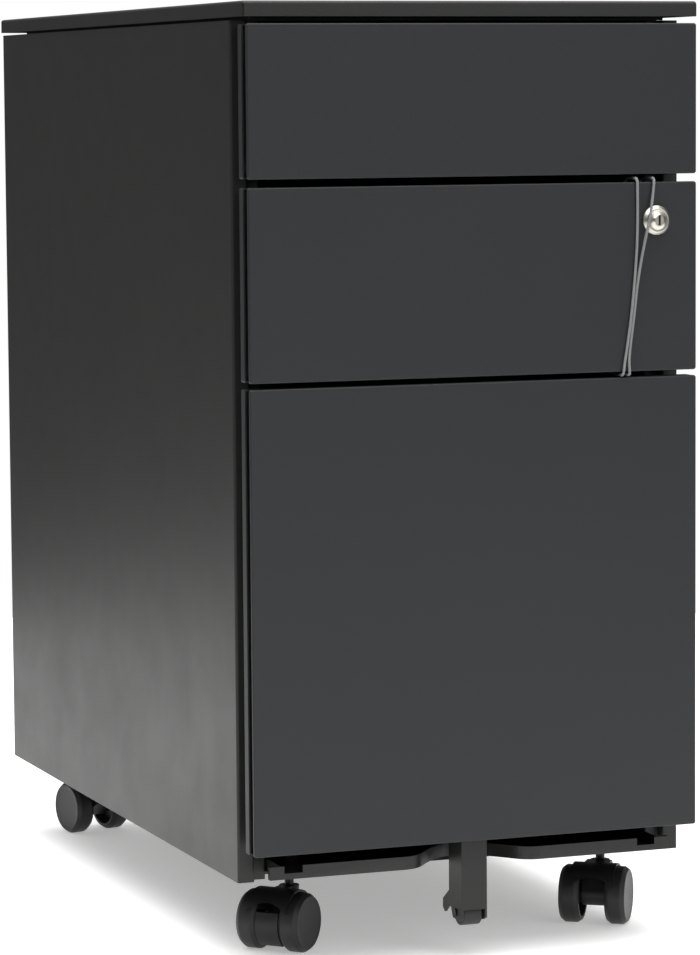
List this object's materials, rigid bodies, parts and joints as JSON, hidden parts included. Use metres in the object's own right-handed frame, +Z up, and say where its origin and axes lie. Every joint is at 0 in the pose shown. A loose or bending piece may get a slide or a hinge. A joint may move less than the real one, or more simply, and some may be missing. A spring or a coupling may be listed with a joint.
{
  "type": "filing cabinet",
  "caption": "Slim steel mobile pedestal: box drawers over a file drawer with an anti-tip leg, cam lock with a string, twin-wheel swivel casters",
  "frame": {"origin": "on the floor under the middle of the cabinet, with the lock's dome counted in the depth", "axes": "+Z up along the height, drawers open towards -Y, +X to the right seen from the front"},
  "size_m": [0.302, 0.5561, 0.6],
  "materials": {
    "carcass_paint": "satin powder coat, graphite black",
    "front_paint": "satin powder coat, charcoal",
    "tray_paint": "satin powder coat",
    "zinc": "bright zinc plate",
    "nickel": "polished nickel plate",
    "black_plastic": "moulded nylon, fine grain",
    "wheel_plastic": "moulded nylon tread",
    "black_steel": "blackened steel",
    "string": "twisted grey string"
  },
  "bodies": {
    "carcass": {"left_side_panel": "carcass_paint", "right_side_panel": "carcass_paint", "back_panel": "carcass_paint", "top_panel": "carcass_paint", "top_frame": "carcass_paint", "base_plate": "carcass_paint", "front_base_rail": "carcass_paint", "rear_base_rail": "carcass_paint", "left_slide_posts": "carcass_paint", "right_slide_posts": "carcass_paint", "back_panel_screws": "zinc", "caster_stems": "black_steel", "caster_nuts": "zinc", "lock_bar_guides": "black_plastic", "top_drawer_outer_rails": "zinc", "middle_drawer_outer_rails": "zinc", "file_drawer_outer_rails": "zinc"},
    "top_drawer": {"top_drawer_face": "front_paint", "top_drawer_pan": "front_paint", "top_drawer_tray": "tray_paint", "top_drawer_inner_rails": "zinc"},
    "top_slides": {"top_drawer_middle_rails": "zinc"},
    "middle_drawer": {"middle_drawer_face": "front_paint", "middle_drawer_pan": "front_paint", "middle_drawer_tray": "tray_paint", "middle_drawer_inner_rails": "zinc", "lock_housing": "nickel", "lock_nut": "zinc", "key_string": "string"},
    "middle_slides": {"middle_drawer_middle_rails": "zinc"},
    "file_drawer": {"file_drawer_face": "front_paint", "file_drawer_pan": "front_paint", "file_drawer_tray": "tray_paint", "file_drawer_inner_rails": "zinc", "hanging_file_rails": "tray_paint", "anti_tip_leg": "carcass_paint", "anti_tip_axle": "black_steel"},
    "file_slides": {"file_drawer_middle_rails": "zinc"},
    "lock_plug": {"lock_rotor": "nickel", "lock_cam": "zinc"},
    "lock_bar_slide": {"lock_bar": "zinc"},
    "anti_tip_wheel": {"anti_tip_roller": "wheel_plastic"},
    "front_left_caster": {"front_left_caster_hood": "black_plastic", "front_left_caster_axle": "black_steel"},
    "front_left_left_roll": {"front_left_left_wheel": "wheel_plastic"},
    "front_left_right_roll": {"front_left_right_wheel": "wheel_plastic"},
    "front_left_brake": {"front_left_brake_lever": "black_plastic"},
    "front_right_caster": {"front_right_caster_hood": "black_plastic", "front_right_caster_axle": "black_steel"},
    "front_right_left_roll": {"front_right_left_wheel": "wheel_plastic"},
    "front_right_right_roll": {"front_right_right_wheel": "wheel_plastic"},
    "rear_left_caster": {"rear_left_caster_hood": "black_plastic", "rear_left_caster_axle": "black_steel"},
    "rear_left_left_roll": {"rear_left_left_wheel": "wheel_plastic"},
    "rear_left_right_roll": {"rear_left_right_wheel": "wheel_plastic"},
    "rear_right_caster": {"rear_right_caster_hood": "black_plastic", "rear_right_caster_axle": "black_steel"},
    "rear_right_left_roll": {"rear_right_left_wheel": "wheel_plastic"},
    "rear_right_right_roll": {"rear_right_right_wheel": "wheel_plastic"}
  },
  "joints": [
    {"name": "top_drawer_slide", "type": "slide", "parent": "carcass", "child": "top_drawer", "axis": [0, -1, 0], "range_m": [0, 0.36]},
    {"name": "top_slides_travel", "type": "slide", "parent": "carcass", "child": "top_slides", "axis": [0, -1, 0], "range_m": [0, 0.18]},
    {"name": "middle_drawer_slide", "type": "slide", "parent": "carcass", "child": "middle_drawer", "axis": [0, -1, 0], "range_m": [0, 0.36]},
    {"name": "middle_slides_travel", "type": "slide", "parent": "carcass", "child": "middle_slides", "axis": [0, -1, 0], "range_m": [0, 0.18]},
    {"name": "file_drawer_slide", "type": "slide", "parent": "carcass", "child": "file_drawer", "axis": [0, -1, 0], "range_m": [0, 0.4]},
    {"name": "file_slides_travel", "type": "slide", "parent": "carcass", "child": "file_slides", "axis": [0, -1, 0], "range_m": [0, 0.2]},
    {"name": "lock_turn", "type": "hinge", "parent": "middle_drawer", "child": "lock_plug", "pos_m": [0.121, -0.272, 0.4634], "axis": [0, -1, 0], "range_deg": [0, 90]},
    {"name": "lock_bar_lift", "type": "slide", "parent": "carcass", "child": "lock_bar_slide", "axis": [0, 0, 1], "range_m": [0, 0.0055]},
    {"name": "anti_tip_wheel_spin", "type": "hinge", "parent": "file_drawer", "child": "anti_tip_wheel", "pos_m": [0, -0.252, 0.0286], "axis": [1, 0, 0], "continuous": true},
    {"name": "front_left_swivel", "type": "hinge", "parent": "carcass", "child": "front_left_caster", "pos_m": [-0.094, -0.1785, 0.04], "axis": [0, 0, 1], "continuous": true},
    {"name": "front_left_left_wheel_spin", "type": "hinge", "parent": "front_left_caster", "child": "front_left_left_roll", "pos_m": [-0.10497, -0.18873, 0.019], "axis": [0.682, -0.7314, 0], "continuous": true},
    {"name": "front_left_right_wheel_spin", "type": "hinge", "parent": "front_left_caster", "child": "front_left_right_roll", "pos_m": [-0.10497, -0.18873, 0.019], "axis": [0.682, -0.7314, 0], "continuous": true},
    {"name": "front_left_brake_swing", "type": "hinge", "parent": "front_left_caster", "child": "front_left_brake", "pos_m": [-0.10497, -0.18873, 0.019], "axis": [0.682, -0.7314, 0], "range_deg": [-24, 0]},
    {"name": "front_right_swivel", "type": "hinge", "parent": "carcass", "child": "front_right_caster", "pos_m": [0.124, -0.1785, 0.04], "axis": [0, 0, 1], "continuous": true},
    {"name": "front_right_left_wheel_spin", "type": "hinge", "parent": "front_right_caster", "child": "front_right_left_roll", "pos_m": [0.1154, -0.19079, 0.019], "axis": [0.8192, -0.5736, 0], "continuous": true},
    {"name": "front_right_right_wheel_spin", "type": "hinge", "parent": "front_right_caster", "child": "front_right_right_roll", "pos_m": [0.1154, -0.19079, 0.019], "axis": [0.8192, -0.5736, 0], "continuous": true},
    {"name": "rear_left_swivel", "type": "hinge", "parent": "carcass", "child": "rear_left_caster", "pos_m": [-0.094, 0.237, 0.04], "axis": [0, 0, 1], "continuous": true},
    {"name": "rear_left_left_wheel_spin", "type": "hinge", "parent": "rear_left_caster", "child": "rear_left_left_roll", "pos_m": [-0.09737, 0.25162, 0.019], "axis": [-0.9744, -0.225, 0], "continuous": true},
    {"name": "rear_left_right_wheel_spin", "type": "hinge", "parent": "rear_left_caster", "child": "rear_left_right_roll", "pos_m": [-0.09737, 0.25162, 0.019], "axis": [-0.9744, -0.225, 0], "continuous": true},
    {"name": "rear_right_swivel", "type": "hinge", "parent": "carcass", "child": "rear_right_caster", "pos_m": [0.124, 0.237, 0.04], "axis": [0, 0, 1], "continuous": true},
    {"name": "rear_right_left_wheel_spin", "type": "hinge", "parent": "rear_right_caster", "child": "rear_right_left_roll", "pos_m": [0.11887, 0.2511, 0.019], "axis": [-0.9397, -0.342, 0], "continuous": true},
    {"name": "rear_right_right_wheel_spin", "type": "hinge", "parent": "rear_right_caster", "child": "rear_right_right_roll", "pos_m": [0.11887, 0.2511, 0.019], "axis": [-0.9397, -0.342, 0], "continuous": true}
  ],
  "couplings": [
    {"joint": "top_slides_travel", "follows": "top_drawer_slide", "ratio": 0.5},
    {"joint": "middle_slides_travel", "follows": "middle_drawer_slide", "ratio": 0.5},
    {"joint": "file_slides_travel", "follows": "file_drawer_slide", "ratio": 0.5},
    {"joint": "lock_turn", "follows": "lock_bar_lift", "rad_per_m": 285.6}
  ]
}
